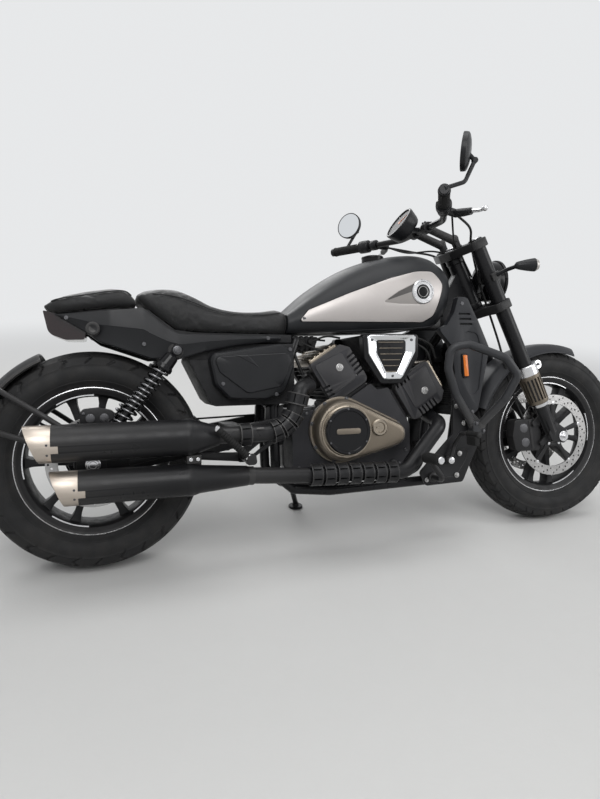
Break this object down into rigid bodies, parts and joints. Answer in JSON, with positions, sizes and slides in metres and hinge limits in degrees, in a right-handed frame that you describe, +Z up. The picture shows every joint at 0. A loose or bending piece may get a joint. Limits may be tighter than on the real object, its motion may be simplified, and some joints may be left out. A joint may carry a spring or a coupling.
{
  "type": "cruiser motorcycle",
  "caption": "Black V-twin cruiser motorcycle leaning on its side stand, with cast wheels, stacked mufflers, radiator shroud, crash bars, low seat and swept handlebar",
  "frame": {"origin": "on the ground, below the middle of the bounding box", "axes": "+X towards the front wheel, +Y to the rider's left, +Z up; the machine leans to +Y"},
  "size_m": [2.2985, 0.9617, 1.2981],
  "materials": {
    "tyre": "matt",
    "wheel_black": "satin",
    "disc_steel": "machined",
    "satin_black": "satin",
    "gloss_black": "gloss",
    "engine_grey": "satin",
    "bronze_cover": "satin",
    "exhaust_black": "matt",
    "tank_grey": "satin",
    "panel_silver": "satin",
    "shroud_grey": "satin",
    "bar_grey": "satin",
    "chrome": "polished",
    "polished_alloy": "polished",
    "black_alloy": "satin",
    "rubber": "matt",
    "seat_cover": "matt",
    "black_plastic": "matt",
    "smoked_lens": "gloss",
    "plate_white": "satin"
  },
  "bodies": {
    "chassis": {"swingarm": "satin_black", "rear_axle": "polished_alloy", "shocks": "chrome", "rear_caliper": "satin_black", "drive_belt": "rubber", "crankcase": "engine_grey", "pulley_cover": "satin_black", "clutch_cover": "bronze_cover", "rear_cylinder": "engine_grey", "front_cylinder": "engine_grey", "air_intake": "chrome", "rear_exhaust": "exhaust_black", "front_exhaust": "exhaust_black", "pipe_shields": "exhaust_black", "frame": "satin_black", "fuel_tank": "tank_grey", "tank_panels": "panel_silver", "rider_seat": "seat_cover", "pillion_pad": "seat_cover", "tail_panels": "tank_grey", "seat_pan": "black_plastic", "tail_lamp": "smoked_lens", "side_covers": "gloss_black", "battery_box": "black_plastic", "radiator": "black_alloy", "radiator_shroud": "shroud_grey", "crash_bars": "bar_grey", "footrest_plates": "satin_black", "rider_pegs": "rubber", "brake_pedal": "satin_black", "gear_lever": "satin_black", "passenger_pegs": "polished_alloy", "rear_fender": "black_plastic", "number_plate": "plate_white", "rear_signals": "gloss_black"},
    "rear_wheel": {"rear_tyre": "tyre", "rear_rim": "wheel_black", "rear_disc": "disc_steel", "rear_pulley": "satin_black"},
    "front_wheel": {"front_tyre": "tyre", "front_rim": "wheel_black", "front_discs": "disc_steel"},
    "steering": {"triple_clamps": "satin_black", "fork_tubes": "satin_black", "fork_lowers": "black_alloy", "front_axle": "polished_alloy", "front_calipers": "satin_black", "front_fender": "shroud_grey", "headlamp": "chrome", "handlebar": "satin_black", "grips": "rubber", "hand_controls": "polished_alloy", "instrument": "black_plastic", "mirrors": "gloss_black", "front_signals": "gloss_black"},
    "stand": {"side_stand": "satin_black"}
  },
  "joints": [
    {"name": "rear_wheel_spin", "type": "hinge", "parent": "chassis", "child": "rear_wheel", "pos_m": [-0.79275, -0.16293, 0.31899], "axis": [0, 0.9778, -0.2094], "continuous": true},
    {"name": "steering_turn", "type": "hinge", "parent": "chassis", "child": "steering", "pos_m": [0.77109, -0.16939, 0.28887], "axis": [-0.4174, 0.1903, 0.8886], "range_deg": [-35, 35]},
    {"name": "front_wheel_spin", "type": "hinge", "parent": "steering", "child": "front_wheel", "pos_m": [0.82925, -0.16379, 0.31499], "axis": [0, 0.9778, -0.2094], "continuous": true},
    {"name": "stand_fold", "type": "hinge", "parent": "chassis", "child": "stand", "pos_m": [-0.14275, -0.05046, 0.17566], "axis": [0, 0.8642, 0.5032], "range_deg": [0, 96]}
  ]
}
